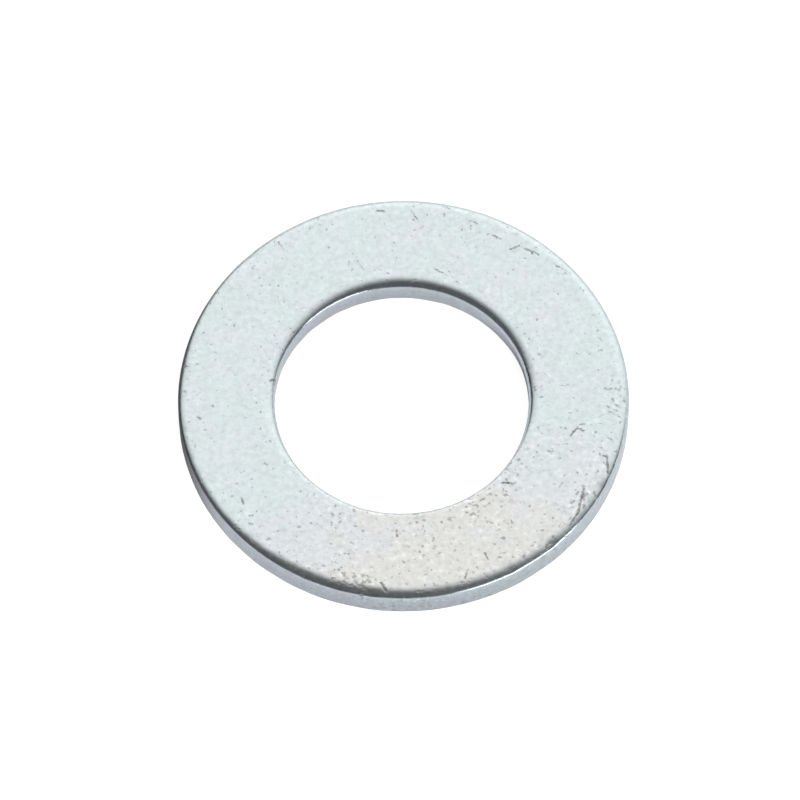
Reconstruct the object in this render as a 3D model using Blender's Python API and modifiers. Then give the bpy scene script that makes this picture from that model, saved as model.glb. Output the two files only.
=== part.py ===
"""Plain flat washer for a 20 mm bolt, stamped from steel sheet and zinc plated.

Metres, +Z up. The origin is the centre of the bolt hole on the lower bearing
face, and +Z runs along the bolt, out of the upper face. The washer is one
solid ring: nothing on it is assembled and nothing moves.
"""

import math

import bmesh
import bpy

MM = 0.001

# Driving dimensions.
OUTER_DIAMETER = 37.0 * MM
HOLE_DIAMETER = 21.0 * MM
THICKNESS = 2.8 * MM
ROLL_WIDTH = 1.05 * MM       # how far the rolled edges reach into the upper face
ROLL_DEPTH = 0.75 * MM      # how far they reach down the outer side and the hole's wall
EDGE_BREAK = 0.15 * MM      # small bevel on both edges of the lower face

ROLL_FACETS = 6             # straight runs along each rolled edge
RING_FACETS = 128           # straight runs around the ring, a multiple of four
MERGE_DISTANCE = 0.00001
SHARP_ANGLE = math.radians(28.0)

COLLECTION_NAME = "flat_washer"
NODE_NAME = "washer_ring"


def clear_scene():
    """Remove the objects that the scene starts with."""
    for item in list(bpy.data.objects):
        bpy.data.objects.remove(item, do_unlink=True)


def make_collection(name):
    """A collection of this name, linked to the scene."""
    collection = bpy.data.collections.new(name)
    bpy.context.scene.collection.children.link(collection)
    return collection


def zinc_plate_material():
    """Bright zinc plating: a pale, cool, half-matt metal."""
    material = bpy.data.materials.new("zinc_plate")
    material.use_nodes = True
    shader = material.node_tree.nodes["Principled BSDF"]
    shader.inputs["Base Color"].default_value = (0.76, 0.79, 0.80, 1.0)
    shader.inputs["Metallic"].default_value = 1.0
    shader.inputs["Roughness"].default_value = 0.35
    return material


def rolled_edge(centre_radius, start_degrees, end_degrees):
    """Points on a quarter of an ellipse about a centre at this radius, both ends included."""
    points = []
    for step in range(ROLL_FACETS + 1):
        angle = math.radians(start_degrees + (end_degrees - start_degrees) * step / ROLL_FACETS)
        radius = centre_radius + ROLL_WIDTH * math.cos(angle)
        height = THICKNESS - ROLL_DEPTH + ROLL_DEPTH * math.sin(angle)
        points.append((radius, height))
    return points


def ring_section():
    """The ring's cross-section at +X: a closed loop that runs down its outer side."""
    outer = OUTER_DIAMETER / 2.0
    hole = HOLE_DIAMETER / 2.0
    outer_roll = rolled_edge(outer - ROLL_WIDTH, 90.0, 0.0)
    hole_roll = rolled_edge(hole + ROLL_WIDTH, 180.0, 90.0)
    outer_break = [(outer, EDGE_BREAK), (outer - EDGE_BREAK, 0.0)]
    hole_break = [(hole + EDGE_BREAK, 0.0), (hole, EDGE_BREAK)]
    return outer_roll + outer_break + hole_break + hole_roll


def profile_mesh(name, section):
    """A mesh of edges that follows a closed section in the X-Z plane."""
    shape = bmesh.new()
    corners = [shape.verts.new((radius, 0.0, height)) for radius, height in section]
    for corner, following in zip(corners, corners[1:] + corners[:1]):
        shape.edges.new((corner, following))
    mesh = bpy.data.meshes.new(name)
    shape.to_mesh(mesh)
    shape.free()
    return mesh


def turn_about_z(body):
    """Turn the profile a full circle about Z."""
    screw = body.modifiers.new("turn_about_z", "SCREW")
    screw.axis = "Z"
    screw.angle = math.tau
    screw.steps = RING_FACETS
    screw.render_steps = RING_FACETS
    screw.use_merge_vertices = True
    screw.merge_threshold = MERGE_DISTANCE
    screw.use_smooth_shade = True


def applied(body):
    """Turn the object's modifiers into its mesh, and return that mesh."""
    view = bpy.context.evaluated_depsgraph_get()
    mesh = bpy.data.meshes.new_from_object(body.evaluated_get(view))
    body.modifiers.clear()
    body.data = mesh
    return mesh


def washer_ring(collection):
    """The washer: one turned ring with rolled upper edges."""
    body = bpy.data.objects.new(NODE_NAME, profile_mesh(NODE_NAME, ring_section()))
    collection.objects.link(body)
    turn_about_z(body)
    mesh = applied(body)
    mesh.materials.append(zinc_plate_material())
    mesh.shade_smooth()
    mesh.set_sharp_from_angle(angle=SHARP_ANGLE)
    return body


def main():
    clear_scene()
    washer_ring(make_collection(COLLECTION_NAME))


main()
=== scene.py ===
"""The looks of a flat washer: one zinc-plated stamped ring on a white table in a plain studio.

Lengths are in millimetres until they reach Blender, which is in metres. +X is to the
right of the camera, +Y away from it, and +Z up. "Near" is the side by the camera.
"""

import math

import bpy
import numpy as np
from mathutils import Matrix, Vector, noise


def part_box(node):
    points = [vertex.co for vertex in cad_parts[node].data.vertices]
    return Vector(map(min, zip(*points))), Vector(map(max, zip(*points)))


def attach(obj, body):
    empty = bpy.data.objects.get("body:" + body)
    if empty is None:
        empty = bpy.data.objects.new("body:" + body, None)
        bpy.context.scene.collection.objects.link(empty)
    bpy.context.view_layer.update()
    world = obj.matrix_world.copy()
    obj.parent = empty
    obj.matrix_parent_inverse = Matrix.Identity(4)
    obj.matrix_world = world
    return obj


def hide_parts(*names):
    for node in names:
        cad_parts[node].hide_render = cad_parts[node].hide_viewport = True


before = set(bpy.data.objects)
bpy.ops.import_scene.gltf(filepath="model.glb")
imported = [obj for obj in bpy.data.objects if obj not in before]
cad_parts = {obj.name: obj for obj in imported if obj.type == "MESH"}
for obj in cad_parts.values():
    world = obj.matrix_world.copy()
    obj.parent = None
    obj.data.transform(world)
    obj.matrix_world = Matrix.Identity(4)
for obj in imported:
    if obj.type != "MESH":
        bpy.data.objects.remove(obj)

MM = 0.001
CAD_NODE = "washer_ring"
BODY = "root"
PIECE = "plated_ring"

# The rolled edges of the upper face.
ROLL_WIDTH = 0.95           # how far they reach into the face
ROLL_DEPTH = 0.75           # how far they reach down the sides
ROLL_LEAN = 0.10            # the outer roll is this much wider at the near side, narrower at the far
ROLL_WANDER = 0.06          # how far their width wanders around the ring
LEFT_ROLL = 0.68            # the outer roll shrinks to this share of its width at the left,
LEFT_ROLL_AZIMUTH = 205.0   # around this azimuth,
LEFT_FROM, LEFT_TO = 0.80, 1.0      # between these cosines of the turn away from it,
LEFT_FLATTENING = 1.6       # and its depth shrinks by this power of the share
NEAR_HOLE_ROLL = 0.55       # the hole's roll shrinks to this share at the near side,
NEAR_HOLE_SLACK = 0.16      # the hole's radius grows by this much there,
NEAR_HOLE_FROM, NEAR_HOLE_TO = 0.1, 0.8     # and both set in between these sines

# The hole and the lower edges.
HOLE_OFFSET = (-0.15, -0.13)    # the hole was punched this far off centre, in X and Y
HOLE_SNUG = 0.09            # the plated hole's radius is this much smaller than the CAD's
TEAR_HEIGHT = 1.1           # below this the punched wall tore instead of shearing
TEAR_WANDER = 0.25
TEAR_FLARE = 0.20           # the torn part of the hole opens this much towards the underside
EDGE_BREAK = 0.15           # bevel on both lower edges
BREAK_WANDER = 0.06

# What wanders around the ring: how many waves it has, and its own place in the noise.
OUTER_ROLL_WAVES = (1.6, 3.1)
HOLE_ROLL_WAVES = (1.3, 8.7)
OUTER_BREAK_WAVES = (9.0, 5.3)
HOLE_BREAK_WAVES = (7.0, 1.9)
TEAR_WAVES = (4.0, 6.2)

# The mesh: columns around the ring, and rows along each stretch of its section.
AROUND = 720
FACE_ROWS, ROLL_ROWS, WALL_ROWS, BREAK_ROWS, UNDERSIDE_ROWS = 46, 14, 7, 3, 20

# Relief cut into the surface, always inwards so that the ring keeps its size.
FLATNESS = 0.012
FLATNESS_SIZE = 6.0
STREAK_DEPTH, STREAK_SIZE = 0.012, 0.33
STREAK_SQUASH = (1.0, 0.15, 1.0)    # makes the streaks long and upright
TEAR_DEPTH, TEAR_GRAIN = 0.03, 0.45
TEAR_LEAST = 0.4            # the torn band is nowhere shallower than this share of its depth
TEAR_FULL = 0.6             # it is fully torn below this share of its height
WALL_SKIN = (0.12, 0.30)    # the relief starts this close to the outer wall and the hole's wall
WALL_SKIN_FADE = 0.1
WALL_RELIEF_DOWN = 1.4      # and is at its full depth this far below the upper face

# Knocks. Radius and depth run from the smallest to the largest.
DENT_SEED = 20
FACE_DENTS, RIM_DENTS = 90, 46
FACE_DENT_RADIUS, FACE_DENT_DEPTH = (0.22, 0.47), (0.008, 0.028)
FACE_DENT_MARGIN = 1.4
FACE_DENTS_ABOVE = 0.65     # this share of them is on the upper face, and the rest below
RIM_DENT_RADIUS, RIM_DENT_DEPTH = (0.25, 0.60), (0.015, 0.065)
RIM_DENT_INSET, RIM_DENT_DROP = 0.35, 0.2
RIM_DENTS_OUTSIDE, RIM_DENTS_ABOVE = 0.7, 0.7

# The sides look sheared this close to the outer wall and the hole's wall, above the lower edge.
SHEARED_SKIN = (0.30, 0.35)
SHEARED_FADE = 0.22
SHEARED_FROM, SHEARED_TO = 0.03, 0.12

# Wear: most on the near right and along the rims, where it sets in between two radii, in patches.
WORN_WAY = (0.42, -0.91)
WORN_FROM, WORN_TO = 1.5, 13.0
OUTER_RIM_FROM, OUTER_RIM_TO = 15.6, 17.6
HOLE_RIM_FROM, HOLE_RIM_TO = 13.4, 11.8
PATCH_SIZE = 3.2
PATCH_FROM, PATCH_TO = 0.40, 0.65
NEAR_WEAR, NEAR_RIM_WEAR, RIM_WEAR = 0.55, 0.4, 0.3
WEAR_OFF_PATCH = 0.4        # this share of the wear is left between the patches

# The warm tint of the near side of the upper face.
WARM_WAY = (0.24, -0.97)
WARM_FROM, WARM_TO = 0.40, 1.05
WARM_UNEVEN, WARM_UNEVEN_SIZE = 0.35, 2.2
WARM_DOWN_FROM, WARM_DOWN_TO = 0.15, 0.02   # none this far below the upper face, full from here up

# Scratches and stains that stand out in the photograph, with both ends read off it
# and turned into millimetres on the washer: end, end, half width and strength.
MARKS = [
    ((-2.1, 17.3), (-1.5, 17.2), 0.17, 0.8),
    ((0.7, 17.2), (1.2, 16.4), 0.15, 0.7),
    ((5.2, 16.5), (6.3, 15.9), 0.16, 0.7),
    ((7.0, 15.2), (8.4, 14.3), 0.15, 0.6),
    ((8.9, 13.6), (9.6, 13.9), 0.18, 0.9),
    ((9.8, 13.8), (11.2, 13.1), 0.17, 0.8),
    ((12.6, 12.1), (13.7, 11.4), 0.16, 0.7),
    ((-3.8, 12.6), (-3.3, 11.8), 0.17, 0.8),
    ((-0.5, 12.9), (-0.8, 11.8), 0.15, 0.7),
    ((2.5, 11.9), (3.7, 11.1), 0.14, 0.6),
    ((-10.4, 14.4), (-9.7, 13.6), 0.15, 0.6),
    ((-18.0, 2.9), (-17.5, 2.8), 0.18, 1.0),
    ((-16.9, -1.9), (-16.7, -2.0), 0.22, 0.9),
    ((-10.9, 1.5), (-10.5, 1.7), 0.20, 0.9),
    ((13.6, -3.8), (14.2, -3.0), 0.15, 0.8),
    ((14.2, -3.0), (14.7, -3.4), 0.15, 0.8),
    ((16.3, -5.6), (16.6, -5.7), 0.17, 1.1),
    ((16.6, -5.7), (16.7, -7.1), 0.18, 1.1),
    ((14.7, -8.7), (14.3, -10.3), 0.16, 1.1),
    ((14.3, -10.3), (14.2, -10.9), 0.17, 1.0),
    ((8.0, -8.1), (8.6, -8.1), 0.20, 0.8),
    ((-0.6, -12.4), (-0.6, -12.9), 0.17, 0.9),
    ((-1.9, -17.2), (-1.5, -17.9), 0.20, 1.0),
    ((6.6, -14.5), (6.8, -15.1), 0.18, 0.9),
    ((5.2, -16.0), (4.9, -16.9), 0.16, 0.8),
    ((-13.3, -9.3), (-13.1, -9.9), 0.18, 0.9),
    ((8.7, -11.4), (8.9, -12.0), 0.17, 0.8),
    ((13.5, -12.0), (14.1, -11.0), 0.15, 0.9),
    ((12.5, -8.8), (13.2, -7.8), 0.15, 0.5),
]
MARK_CORE = 0.2             # a mark is at its full strength within this share of its half width
MARK_DOWN_FROM, MARK_DOWN_TO = 0.9, 0.6     # none this far below the upper face, full from here up

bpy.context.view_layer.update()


# ---------------------------------------------------------------- ring shape

def frame_sizes():
    """The CAD ring's outer radius and thickness, and the plated hole's radius, in millimetres."""
    low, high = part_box(CAD_NODE)
    reaches = [math.hypot(v.co.x, v.co.y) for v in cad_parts[CAD_NODE].data.vertices]
    return high.x / MM, min(reaches) / MM - HOLE_SNUG, (high.z - low.z) / MM


OUTER, HOLE, TOP = frame_sizes()


def ramp_between(values, low, high):
    """0 below low, 1 above high, and a smooth step between them."""
    share = np.clip((values - low) / (high - low), 0.0, 1.0)
    return share * share * (3.0 - 2.0 * share)


def ramp_down(values, high, low):
    """0 above high, 1 below low, and a smooth step between them."""
    return ramp_between(-values, -high, -low)


def around_noise(angles, waves):
    """Smooth noise from -1 to 1 that closes on itself around the ring."""
    count, own_place = waves
    places = [Vector((count * math.cos(a), count * math.sin(a), own_place)) for a in angles]
    return np.array([noise.noise(place) for place in places])


def straight(rows, start, end):
    """Rows of a straight stretch between two (radius, height) pairs, without its last row."""
    share = (np.arange(rows) / rows)[:, None]
    return [first + (last - first) * share for first, last in zip(start, end)]


def rolled(centre_radius, roll, start_degrees, end_degrees):
    """Rows around a rolled edge, a quarter of an ellipse, without its last row."""
    reach, depth = roll
    turned = (end_degrees - start_degrees) * np.arange(ROLL_ROWS) / ROLL_ROWS
    angle = np.radians(start_degrees + turned)[:, None]
    return [centre_radius + reach * np.cos(angle), TOP - depth + depth * np.sin(angle)]


def outer_roll(angles):
    """How far the rim's rolled edge reaches into the face, and how far down the side."""
    towards_left = np.cos(angles - math.radians(LEFT_ROLL_AZIMUTH))
    size = 1.0 - (1.0 - LEFT_ROLL) * ramp_between(towards_left, LEFT_FROM, LEFT_TO)
    wander = ROLL_WANDER * around_noise(angles, OUTER_ROLL_WAVES)
    reach = size * (ROLL_WIDTH - ROLL_LEAN * np.sin(angles) + wander)
    return reach, ROLL_DEPTH * size ** LEFT_FLATTENING


def near_hole(angles):
    """1 at the hole's near side, 0 at its sides and its far side."""
    return ramp_between(-np.sin(angles), NEAR_HOLE_FROM, NEAR_HOLE_TO)


def hole_roll(angles):
    """How far the hole's rolled edge reaches into the face, and how far down the wall."""
    size = 1.0 - (1.0 - NEAR_HOLE_ROLL) * near_hole(angles)
    reach = size * (ROLL_WIDTH + ROLL_WANDER * around_noise(angles, HOLE_ROLL_WAVES))
    return reach, ROLL_DEPTH * size


def ring_section(angles):
    """Radius and height of every mesh point: rows run out along the face and round the section."""
    bottom = np.zeros_like(angles)
    outer, top = OUTER + bottom, TOP + bottom
    hole = HOLE + NEAR_HOLE_SLACK * near_hole(angles)
    flared = hole + TEAR_FLARE
    rim_roll, inner_roll = outer_roll(angles), hole_roll(angles)
    rim_face, hole_face = outer - rim_roll[0], hole + inner_roll[0]
    outer_break = EDGE_BREAK + BREAK_WANDER * around_noise(angles, OUTER_BREAK_WAVES)
    hole_break = EDGE_BREAK + BREAK_WANDER * around_noise(angles, HOLE_BREAK_WAVES)
    tear = TEAR_HEIGHT + TEAR_WANDER * around_noise(angles, TEAR_WAVES)
    stretches = [
        straight(FACE_ROWS, (hole_face, top), (rim_face, top)),
        rolled(rim_face, rim_roll, 90.0, 0.0),
        straight(WALL_ROWS, (outer, top - rim_roll[1]), (outer, tear)),
        straight(WALL_ROWS, (outer, tear), (outer, outer_break)),
        straight(BREAK_ROWS, (outer, outer_break), (outer - outer_break, bottom)),
        straight(UNDERSIDE_ROWS, (outer - outer_break, bottom), (flared + hole_break, bottom)),
        straight(BREAK_ROWS, (flared + hole_break, bottom), (flared, hole_break)),
        straight(WALL_ROWS, (flared, hole_break), (hole, tear)),
        straight(WALL_ROWS, (hole, tear), (hole, top - inner_roll[1])),
        rolled(hole_face, inner_roll, 180.0, 90.0),
    ]
    radius = np.concatenate([np.broadcast_to(r, (len(r), AROUND)) for r, _ in stretches])
    height = np.concatenate([np.broadcast_to(z, (len(z), AROUND)) for _, z in stretches])
    return radius, height


def ring_points():
    """Every mesh point, in rows around the ring with the hole off centre, and the number of rows."""
    angles = np.arange(AROUND) * math.tau / AROUND
    radius, height = ring_section(angles)
    off_centre = (OUTER - radius) / (OUTER - HOLE)
    across = radius * np.cos(angles) + off_centre * HOLE_OFFSET[0]
    away = radius * np.sin(angles) + off_centre * HOLE_OFFSET[1]
    return np.stack([across, away, height], axis=-1).reshape(-1, 3), len(radius)


def ring_quads(rows):
    """Four-sided faces that join each row to the next, all the way around both ways."""
    quads = []
    for row in range(rows):
        here, beyond = row * AROUND, (row + 1) % rows * AROUND
        for column in range(AROUND):
            after = (column + 1) % AROUND
            quads.append((here + column, beyond + column, beyond + after, here + after))
    return quads


# ---------------------------------------------------------------- relief

def reach_of(points):
    """Distance of each point from the ring's axis."""
    return np.hypot(points[:, 0], points[:, 1])


def noise_over(points, size, squash=(1.0, 1.0, 1.0)):
    """Noise from 0 to 1 at each point, with features of this size."""
    scaled = points * np.array(squash) / size
    return 0.5 + 0.5 * np.array([noise.noise(Vector(p)) for p in scaled])


def into_skin(points, skin):
    """How far each point is into a skin of this thickness at the outer wall or at the hole's wall."""
    reach = reach_of(points)
    return np.maximum(reach - (OUTER - skin[0]), (HOLE + skin[1]) - reach)


def on_wall(points):
    """1 on the outer wall and the hole's wall, 0 on the faces."""
    beside = ramp_between(into_skin(points, WALL_SKIN), 0.0, WALL_SKIN_FADE)
    return beside * ramp_down(points[:, 2], TOP - ROLL_DEPTH, TOP - WALL_RELIEF_DOWN)


def wall_relief(points):
    """Fine upright streaks on both walls, and a rougher torn band along their lower edges."""
    along = np.arctan2(points[:, 1], points[:, 0]) * reach_of(points)
    unrolled = np.stack([along, points[:, 2], np.zeros(len(points))], axis=1)
    streaks = STREAK_DEPTH * noise_over(unrolled, STREAK_SIZE, STREAK_SQUASH)
    torn = TEAR_DEPTH * ramp_down(points[:, 2], TEAR_HEIGHT, TEAR_FULL * TEAR_HEIGHT)
    grain = TEAR_LEAST + (1.0 - TEAR_LEAST) * noise_over(points, TEAR_GRAIN)
    return on_wall(points) * (streaks + torn * grain)


def between(limits, share):
    """The value this share of the way from the first limit to the second."""
    return limits[0] + (limits[1] - limits[0]) * share


def dent_list():
    """Small knocks: (place, radius, depth), scattered over both faces and thicker along the rims."""
    draw = np.random.RandomState(DENT_SEED)
    dents = []
    for number in range(FACE_DENTS + RIM_DENTS):
        turn = draw.uniform(0.0, math.tau)
        size = draw.uniform(0.0, 1.0) ** 2
        if number < FACE_DENTS:
            reach = draw.uniform(HOLE + FACE_DENT_MARGIN, OUTER - FACE_DENT_MARGIN)
            height = TOP if draw.uniform() < FACE_DENTS_ABOVE else 0.0
            radius, depth = between(FACE_DENT_RADIUS, size), between(FACE_DENT_DEPTH, size)
        else:
            outside = draw.uniform() < RIM_DENTS_OUTSIDE
            reach = OUTER - RIM_DENT_INSET if outside else HOLE + RIM_DENT_INSET
            height = TOP - RIM_DENT_DROP if draw.uniform() < RIM_DENTS_ABOVE else 0.0
            radius, depth = between(RIM_DENT_RADIUS, size), between(RIM_DENT_DEPTH, size)
        place = np.array((reach * math.cos(turn), reach * math.sin(turn), height))
        dents.append((place, radius, depth))
    return dents


def dent_relief(points):
    """How deep the knocks are at each point."""
    depth_here = np.zeros(len(points))
    for place, radius, depth in dent_list():
        away = ((points - place) ** 2).sum(axis=1) / radius ** 2
        depth_here += depth * np.exp(-away)
    return depth_here


def carve(mesh):
    """Press the relief into the mesh along its normals."""
    points = np.empty(len(mesh.vertices) * 3)
    mesh.vertices.foreach_get("co", points)
    points = points.reshape(-1, 3) / MM
    normals = np.array([n.vector for n in mesh.vertex_normals])
    depth = FLATNESS * noise_over(points, FLATNESS_SIZE) + wall_relief(points) + dent_relief(points)
    points = (points - normals * depth[:, None]) * MM
    mesh.vertices.foreach_set("co", points.ravel())
    mesh.update()


# ---------------------------------------------------------------- what the material reads from the mesh

def sheared_share(points):
    """How far each point is down a side: 0 on the faces, 1 on the burnished and torn walls."""
    beside = ramp_between(into_skin(points, SHEARED_SKIN), 0.0, SHEARED_FADE)
    return beside * ramp_between(points[:, 2], SHEARED_FROM, SHEARED_TO)


def worn_share(points):
    """How much each point has been handled: most on the near side and along the rims."""
    reach = reach_of(points)
    near = ramp_between(points[:, :2] @ np.array(WORN_WAY), WORN_FROM, WORN_TO)
    outer_rim = ramp_between(reach, OUTER_RIM_FROM, OUTER_RIM_TO)
    rim = np.maximum(outer_rim, ramp_down(reach, HOLE_RIM_FROM, HOLE_RIM_TO))
    patchy = ramp_between(noise_over(points, PATCH_SIZE), PATCH_FROM, PATCH_TO)
    wear = near * (NEAR_WEAR + NEAR_RIM_WEAR * rim) + RIM_WEAR * rim
    return wear * (WEAR_OFF_PATCH + (1.0 - WEAR_OFF_PATCH) * patchy)


def warm_share(points):
    """The warm tint of the near side of the upper face."""
    towards = points[:, :2] @ np.array(WARM_WAY) / reach_of(points)
    uneven = WARM_UNEVEN * (noise_over(points, WARM_UNEVEN_SIZE) - 0.5)
    tint = ramp_between(towards + uneven, WARM_FROM, WARM_TO)
    return tint * ramp_between(points[:, 2], TOP - WARM_DOWN_FROM, TOP - WARM_DOWN_TO)


def mark_depth(points):
    """How strong a mark is at each point: its full strength on its middle line, 0 away from it."""
    deep = np.zeros(len(points))
    for start, end, width, strength in MARKS:
        start, along = np.array(start), np.array(end) - np.array(start)
        share = np.clip((points[:, :2] - start) @ along / (along @ along), 0.0, 1.0)
        away = np.linalg.norm(points[:, :2] - start - share[:, None] * along, axis=1)
        deep = np.maximum(deep, strength * ramp_down(away, width, MARK_CORE * width))
    return deep * ramp_between(points[:, 2], TOP - MARK_DOWN_FROM, TOP - MARK_DOWN_TO)


def store(mesh, name, values):
    """Keep one number for each mesh point, for the material to read."""
    kept = mesh.attributes.new(name, "FLOAT", "POINT")
    kept.data.foreach_set("value", values.astype(np.float32))


def plated_ring(material):
    """The washer's fine mesh."""
    points, rows = ring_points()
    mesh = bpy.data.meshes.new(PIECE)
    mesh.from_pydata((points * MM).tolist(), [], ring_quads(rows))
    mesh.shade_smooth()
    store(mesh, "sheared", sheared_share(points))
    store(mesh, "worn", worn_share(points))
    store(mesh, "warm", warm_share(points))
    store(mesh, "mark", mark_depth(points))
    carve(mesh)
    mesh.materials.append(material)
    ring = bpy.data.objects.new(PIECE, mesh)
    bpy.context.scene.collection.objects.link(ring)
    return ring


# ---------------------------------------------------------------- shader helpers

SPOT_LEAST = 0.5            # a spot's size runs from this share of its radius to one radius more
SPOT_CORE = 0.4             # a spot is full within this share of its size


class Shade:
    """Adds shader nodes to one node tree. Inputs are numbers, tuples or other nodes' outputs."""

    def __init__(self, tree):
        self.tree = tree

    def feed(self, socket, source):
        """Join a source to a socket, or set the socket to a constant."""
        if isinstance(source, bpy.types.NodeSocket):
            self.tree.links.new(source, socket)
        else:
            socket.default_value = source

    def node(self, kind, settings=None, **sources):
        """A node with these settings, its sockets fed by name, with _ for a space."""
        made = self.tree.nodes.new(kind)
        for name, value in (settings or {}).items():
            setattr(made, name, value)
        for name, source in sources.items():
            self.feed(made.inputs[name.replace("_", " ")], source)
        return made

    def sum_of(self, operation, *sources):
        """One number from others: ADD, MULTIPLY, MAXIMUM and the like."""
        made = self.node("ShaderNodeMath", {"operation": operation})
        for socket, source in zip(made.inputs, sources):
            self.feed(socket, source)
        return made.outputs["Value"]

    def scaled(self, value, factor, start):
        """A number times a factor, added to where it starts."""
        return self.sum_of("MULTIPLY_ADD", value, factor, start)

    def along(self, seen, way):
        """How far a direction points along another: the cosine between them."""
        made = self.node("ShaderNodeVectorMath", {"operation": "DOT_PRODUCT"})
        self.feed(made.inputs[0], seen)
        self.feed(made.inputs[1], tuple(way))
        return made.outputs["Value"]

    def step(self, value, low, high, start=0.0, end=1.0):
        """A smooth step: start where value is low, end where it is high."""
        made = self.node(
            "ShaderNodeMapRange", {"interpolation_type": "SMOOTHSTEP"},
            Value=value, From_Min=low, From_Max=high, To_Min=start, To_Max=end,
        )
        return made.outputs["Result"]

    def mix(self, share, first, second, blend="MIX"):
        """A colour between two others."""
        made = self.node("ShaderNodeMix", {"data_type": "RGBA", "blend_type": blend})
        self.feed(made.inputs[0], share)
        self.feed(made.inputs[6], first)
        self.feed(made.inputs[7], second)
        return made.outputs[2]

    def grey(self, level):
        """A grey of this level."""
        return self.node("ShaderNodeCombineColor", None, Red=level, Green=level, Blue=level).outputs["Color"]

    def stored(self, name):
        """A number stored on the mesh."""
        return self.node("ShaderNodeAttribute", {"attribute_name": name}).outputs["Fac"]

    def field(self, place, size, detail=2.0, rough=0.5):
        """Noise from 0 to 1 with features of this size in millimetres."""
        made = self.node(
            "ShaderNodeTexNoise", None, Vector=place, Scale=1.0 / size, Detail=detail, Roughness=rough,
        )
        return made.outputs["Fac"]

    def spots(self, place, spacing, radius, share):
        """Round spots, one at most in each cell of this spacing, on this share of the cells."""
        cells = self.node("ShaderNodeTexVoronoi", None, Vector=place, Scale=1.0 / spacing)
        chance = self.node("ShaderNodeSeparateColor", None, Color=cells.outputs["Color"])
        kept = self.sum_of("LESS_THAN", chance.outputs["Red"], share)
        size = self.scaled(chance.outputs["Green"], radius, radius * SPOT_LEAST)
        inside = self.sum_of("DIVIDE", cells.outputs["Distance"], size)
        return self.sum_of("MULTIPLY", self.step(inside, 1.0 / spacing, SPOT_CORE / spacing), kept)

    def joined(self, kind, first, second, **sources):
        """One surface from two others, added or mixed."""
        made = self.node(kind, None, **sources)
        surfaces = [socket for socket in made.inputs if socket.type == "SHADER"]
        for socket, source in zip(surfaces, (first, second)):
            self.feed(socket, source)
        return made.outputs["Shader"]


# ---------------------------------------------------------------- zinc plate

FACE_COOL = (0.735, 0.818, 0.824, 1.0)
FACE_LILAC = (0.790, 0.812, 0.860, 1.0)
FACE_PALE = (0.792, 0.797, 0.814, 1.0)
FACE_CREAM = (0.792, 0.797, 0.768, 1.0)
WALL_GREEN = (0.700, 0.790, 0.840, 1.0)
WALL_LILAC = (0.720, 0.760, 0.850, 1.0)
DIRT = (0.20, 0.19, 0.18, 1.0)

# Sizes of the plating's patches and grain.
LILAC_SIZE, WALL_TINT_SIZE = 3.2, 6.0
BROAD_SIZE, FINE_SIZE, GRIT_SIZE, POCK_SIZE = 0.9, 0.42, 0.38, 0.36

# Where the tints set in, as values of the noise and of the warm share.
LILAC_FROM, LILAC_TO, LILAC_MOST = 0.48, 0.66, 0.5
CREAM_FROM, CREAM_TO = 0.72, 0.97
WALL_TINT_FROM, WALL_TINT_TO = 0.40, 0.60

# Mottle and grit make the colour lighter and darker.
MOTTLE, MOTTLE_START = 0.40, 0.80
BRIGHT_GRIT_FROM, BRIGHT_GRIT_TO = 0.58, 0.82
DARK_GRIT_FROM, DARK_GRIT_TO = 0.40, 0.18
WORN_GRIT, GRIT = 0.14, 0.055

# Pits, spots and marks are dirty.
PITS, WALL_PITS, WORN_PITS = 0.20, -0.12, 0.13
PIT_EDGE = 0.12
SPOT_SPACING, SPOT_RADIUS, SPOT_STRENGTH = 0.75, 0.12, 0.6
WORN_SPOTS, SPOTS = 0.30, 0.02
MARK_BREAKS, MARK_FROM, MARK_TO = 2.4, 1.50, 2.20
SPECK_DIRT, MARK_DIRT = 0.36, 0.66

# What each layer adds to the roughness, and to the fine relief.
ROUGHNESS = 0.27
BROAD_ROUGHNESS, SHEARED_ROUGHNESS, SPECK_ROUGHNESS, MARK_ROUGHNESS = 0.08, -0.10, 0.20, 0.20
FINE_RELIEF, BROAD_RELIEF, SPECK_RELIEF, MARK_RELIEF = 0.006, 0.010, -0.012, -0.025


def plain_colour(shade, place, sheared):
    """Cool and lilac patches on the faces, warmer at the near side, and bluer grey down the sides."""
    warm = shade.stored("warm")
    patches = shade.field(place, LILAC_SIZE, detail=3.0, rough=0.6)
    lilac = shade.step(patches, LILAC_FROM, LILAC_TO, 0.0, LILAC_MOST)
    near_face = shade.mix(shade.step(warm, CREAM_FROM, CREAM_TO), FACE_PALE, FACE_CREAM)
    face = shade.mix(warm, shade.mix(lilac, FACE_COOL, FACE_LILAC), near_face)
    wall_tint = shade.step(shade.field(place, WALL_TINT_SIZE), WALL_TINT_FROM, WALL_TINT_TO)
    return shade.mix(sheared, face, shade.mix(wall_tint, WALL_LILAC, WALL_GREEN))


def mottled(shade, colour, place, fine, worn):
    """A colour with fine mottle, and with light and dark grit that is stronger where it is worn."""
    grit = shade.field(place, GRIT_SIZE, detail=0.0)
    bright = shade.step(grit, BRIGHT_GRIT_FROM, BRIGHT_GRIT_TO)
    dark = shade.step(grit, DARK_GRIT_FROM, DARK_GRIT_TO)
    strength = shade.scaled(worn, WORN_GRIT, GRIT)
    grit = shade.sum_of("MULTIPLY", shade.sum_of("SUBTRACT", bright, dark), strength)
    level = shade.sum_of("ADD", shade.scaled(fine, MOTTLE, MOTTLE_START), grit)
    return shade.mix(1.0, colour, shade.grey(level), blend="MULTIPLY")


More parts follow.
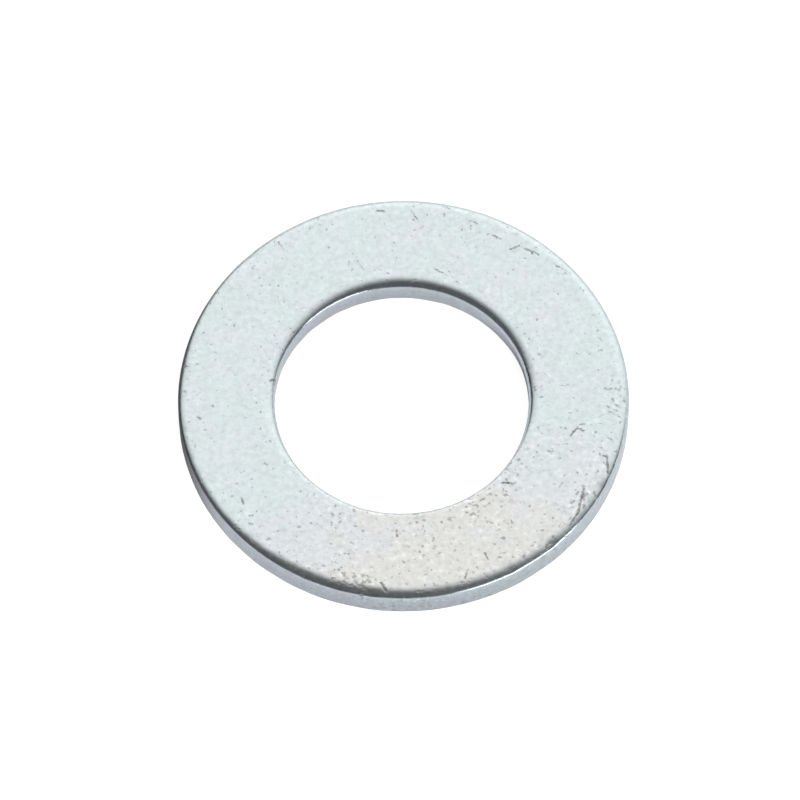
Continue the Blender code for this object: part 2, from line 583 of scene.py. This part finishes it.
def dark_specks(shade, place, sheared, worn):
    """Fine pits and a few larger spots, more of both where the plate is worn."""
    pocks = shade.field(place, POCK_SIZE, detail=1.0)
    pitted = shade.scaled(worn, WORN_PITS, shade.scaled(sheared, WALL_PITS, PITS))
    pits = shade.step(shade.sum_of("SUBTRACT", pocks, pitted), PIT_EDGE, 0.0)
    few = shade.spots(place, SPOT_SPACING, SPOT_RADIUS, shade.scaled(worn, WORN_SPOTS, SPOTS))
    return shade.sum_of("MAXIMUM", shade.sum_of("MULTIPLY", few, SPOT_STRENGTH), pits)


def zinc_plate():
    """Bright zinc: mottled, cool and satin on the faces, smoother and greyer down the sides."""
    material = bpy.data.materials.new("zinc_plate")
    material.use_nodes = True
    shade = Shade(material.node_tree)
    shader = material.node_tree.nodes["Principled BSDF"]
    shader.inputs["Metallic"].default_value = 1.0

    where = shade.node("ShaderNodeTexCoord").outputs["Object"]
    in_millimetres = shade.node("ShaderNodeMapping", None, Vector=where, Scale=(1.0 / MM,) * 3)
    place = in_millimetres.outputs["Vector"]
    sheared, worn = shade.stored("sheared"), shade.stored("worn")
    fine = shade.field(place, FINE_SIZE, detail=3.0, rough=0.65)
    broad = shade.field(place, BROAD_SIZE, detail=2.0, rough=0.6)
    specks = dark_specks(shade, place, sheared, worn)
    mark = shade.step(shade.scaled(fine, MARK_BREAKS, shade.stored("mark")), MARK_FROM, MARK_TO)

    colour = mottled(shade, plain_colour(shade, place, sheared), place, fine, worn)
    colour = shade.mix(shade.sum_of("MULTIPLY", specks, SPECK_DIRT), colour, DIRT)
    colour = shade.mix(shade.sum_of("MULTIPLY", mark, MARK_DIRT), colour, DIRT)
    shade.feed(shader.inputs["Base Color"], colour)

    gloss = shade.scaled(broad, BROAD_ROUGHNESS, ROUGHNESS)
    gloss = shade.scaled(sheared, SHEARED_ROUGHNESS, gloss)
    gloss = shade.scaled(specks, SPECK_ROUGHNESS, gloss)
    gloss = shade.scaled(mark, MARK_ROUGHNESS, gloss)
    shade.feed(shader.inputs["Roughness"], gloss)

    relief = shade.sum_of("MULTIPLY", fine, FINE_RELIEF)
    relief = shade.scaled(broad, BROAD_RELIEF, relief)
    relief = shade.scaled(specks, SPECK_RELIEF, relief)
    relief = shade.scaled(mark, MARK_RELIEF, relief)
    bump = shade.node("ShaderNodeBump", None, Strength=1.0, Distance=MM, Height=relief)
    shade.feed(shader.inputs["Normal"], bump.outputs["Normal"])
    return material


# ---------------------------------------------------------------- studio

# The table, with a painted shade on it at the left that the washer mirrors, in metres.
TABLE_SIZE = 6.0
TABLE_GAP = 0.00001
TABLE_GLOW = 0.90
TABLE_SHADOW = 0.30
# The paper's own tone, and the darker tone of the painted shade at the left.
PAPER_PALE, PAINTED_LEFT_SHADE = 0.75, 0.10
LEFT_SHADE_STARTS, LEFT_SHADE_FULL = -0.0150, -0.0215    # pale from the first of these, dark beyond the second

# A soft lamp at the right that lights only the table.
LAMP_AZIMUTH = -60.0
LAMP_ELEVATION = 30.0
LAMP_SPREAD = 30.0
LAMP_POWER = 3.0

# The sky. From and to are cosines of the turn away from where it is brightest.
SKY_AZIMUTH = 75.0          # counted from +X towards +Y
SKY_ELEVATION = 24.4
SKY_DARK, SKY_BRIGHT = 0.11, 1.0
SKY_FROM, SKY_TO = 0.0, 0.75
GLOW = 1.15                 # the middle of the sky is this much brighter
GLOW_FROM, GLOW_TO = 0.80, 0.95

# Dark cards stand low at the left and the right.
CARD_AZIMUTHS = (155.0, 0.0)
CARD_FROM, CARD_TO = 0.90, 0.96
CARD_DIMMING = 0.15

# A low strip light at the camera's right, in metres.
STRIP_AZIMUTH = -44.5
STRIP_ELEVATION = 2.5
STRIP_DISTANCE = 1.4
STRIP_SIZE = (1.22, 0.14)
STRIP_POWER = 3.3

CAMERA_ELEVATION = 62.2
CAMERA_ROLL = -0.25
CAMERA_DISTANCE = 1200.0
CAMERA_SEES_TO = 10.0       # metres
SCALE_IN_FRAME = 12.19      # image points for each millimetre of the washer
FRAME_POINTS = 800
SENSOR = 36.0
AIM_SIDEWAYS, AIM_UP = -0.293, 0.315


def direction(azimuth, elevation):
    """A unit vector, with azimuth counted from +X towards +Y."""
    turn, rise = math.radians(azimuth), math.radians(elevation)
    return Vector((math.cos(rise) * math.cos(turn), math.cos(rise) * math.sin(turn), math.sin(rise)))


def turned_to_washer(out):
    """The turn of a lamp or camera that stands out in this direction and faces the washer."""
    return out.to_track_quat("Z", "Y").to_matrix()


def paper_and_painted_shade(shade):
    """What the washer mirrors: pale paper, darkened at the left by a painted shade."""
    where = shade.node("ShaderNodeTexCoord").outputs["Object"]
    sideways = shade.node("ShaderNodeSeparateXYZ", None, Vector=where).outputs["X"]
    # Painted shade: the paper goes dark towards the left, where the washer mirrors it, standing in for a
    # shadow.
    paper_tone_with_painted_shade = shade.step(sideways, LEFT_SHADE_FULL, LEFT_SHADE_STARTS, PAINTED_LEFT_SHADE, PAPER_PALE)
    return shade.node("ShaderNodeBsdfDiffuse", None, Color=shade.grey(paper_tone_with_painted_shade)).outputs["BSDF"]


def table_in_view(shade):
    """What the camera sees: plain white, with a faint soft shadow."""
    faint_grey = (TABLE_SHADOW, TABLE_SHADOW, TABLE_SHADOW, 1.0)
    faint = shade.node("ShaderNodeBsdfDiffuse", None, Color=faint_grey).outputs["BSDF"]
    glow = shade.node("ShaderNodeEmission", None, Strength=TABLE_GLOW).outputs["Emission"]
    return shade.joined("ShaderNodeAddShader", faint, glow)


def white_table():
    """A white table: plain white in the picture, and softly lit paper with a painted shade at the left in
    the washer's reflections.
    """
    material = bpy.data.materials.new("white_table")
    material.use_nodes = True
    shade = Shade(material.node_tree)
    in_view = shade.node("ShaderNodeLightPath").outputs["Is Camera Ray"]
    surface = shade.joined("ShaderNodeMixShader", paper_and_painted_shade(shade), table_in_view(shade), Fac=in_view)
    shade.feed(material.node_tree.nodes["Material Output"].inputs["Surface"], surface)
    bpy.ops.mesh.primitive_plane_add(size=TABLE_SIZE, location=(0.0, 0.0, -TABLE_GAP))
    table = bpy.context.object
    table.name = "white_table"
    table.data.materials.append(material)


def studio_sky():
    """Soft light from behind and the right, fading to a dim room in front and at the left."""
    world = bpy.data.worlds.new("studio")
    bpy.context.scene.world = world
    world.use_nodes = True
    shade = Shade(world.node_tree)
    seen = shade.node("ShaderNodeTexCoord").outputs["Generated"]
    towards = shade.along(seen, direction(SKY_AZIMUTH, SKY_ELEVATION))
    sky = shade.step(towards, SKY_FROM, SKY_TO, SKY_DARK, SKY_BRIGHT)
    sky = shade.sum_of("MULTIPLY", sky, shade.step(towards, GLOW_FROM, GLOW_TO, 1.0, GLOW))
    for azimuth in CARD_AZIMUTHS:
        at_card = shade.along(seen, direction(azimuth, 0.0))
        sky = shade.sum_of("MULTIPLY", sky, shade.step(at_card, CARD_FROM, CARD_TO, 1.0, CARD_DIMMING))
    background = world.node_tree.nodes["Background"]
    background.inputs["Color"].default_value = (1.0, 1.0, 1.0, 1.0)
    shade.feed(background.inputs["Strength"], sky)


def strip_light():
    """A long low softbox that draws the bright line along the near right of the wall."""
    data = bpy.data.lights.new("strip_light", "AREA")
    data.shape = "RECTANGLE"
    data.size, data.size_y = STRIP_SIZE
    data.energy = STRIP_POWER
    strip = bpy.data.objects.new("strip_light", data)
    bpy.context.scene.collection.objects.link(strip)
    strip.visible_camera = False
    out = direction(STRIP_AZIMUTH, STRIP_ELEVATION)
    strip.matrix_world = Matrix.Translation(out * STRIP_DISTANCE) @ turned_to_washer(out).to_4x4()


def table_lamp():
    """A soft lamp at the right. The washer mirrors the table it lights, not the lamp itself."""
    data = bpy.data.lights.new("table_lamp", "SUN")
    data.angle = math.radians(LAMP_SPREAD)
    data.energy = LAMP_POWER
    lamp = bpy.data.objects.new("table_lamp", data)
    bpy.context.scene.collection.objects.link(lamp)
    lamp.visible_glossy = False
    lamp.matrix_world = turned_to_washer(direction(LAMP_AZIMUTH, LAMP_ELEVATION)).to_4x4()


def camera():
    """A long lens, looking steeply down at the washer."""
    data = bpy.data.cameras.new("camera")
    data.sensor_width = SENSOR
    data.lens = SCALE_IN_FRAME * CAMERA_DISTANCE * SENSOR / FRAME_POINTS
    data.clip_end = CAMERA_SEES_TO
    viewer = bpy.data.objects.new("camera", data)
    bpy.context.scene.collection.objects.link(viewer)
    back = direction(-90.0, CAMERA_ELEVATION)
    facing = turned_to_washer(back) @ Matrix.Rotation(math.radians(CAMERA_ROLL), 3, "Z")
    aim = Vector((0.0, 0.0, TOP / 2.0)) + facing.col[0] * AIM_SIDEWAYS + facing.col[1] * AIM_UP
    viewer.matrix_world = Matrix.Translation((aim + back * CAMERA_DISTANCE) * MM) @ facing.to_4x4()
    bpy.context.scene.camera = viewer


# ---------------------------------------------------------------- the scene

ring = plated_ring(zinc_plate())
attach(ring, BODY)
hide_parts(CAD_NODE)

white_table()
studio_sky()
strip_light()
table_lamp()
camera()
bpy.context.scene.view_settings.view_transform = "Standard"
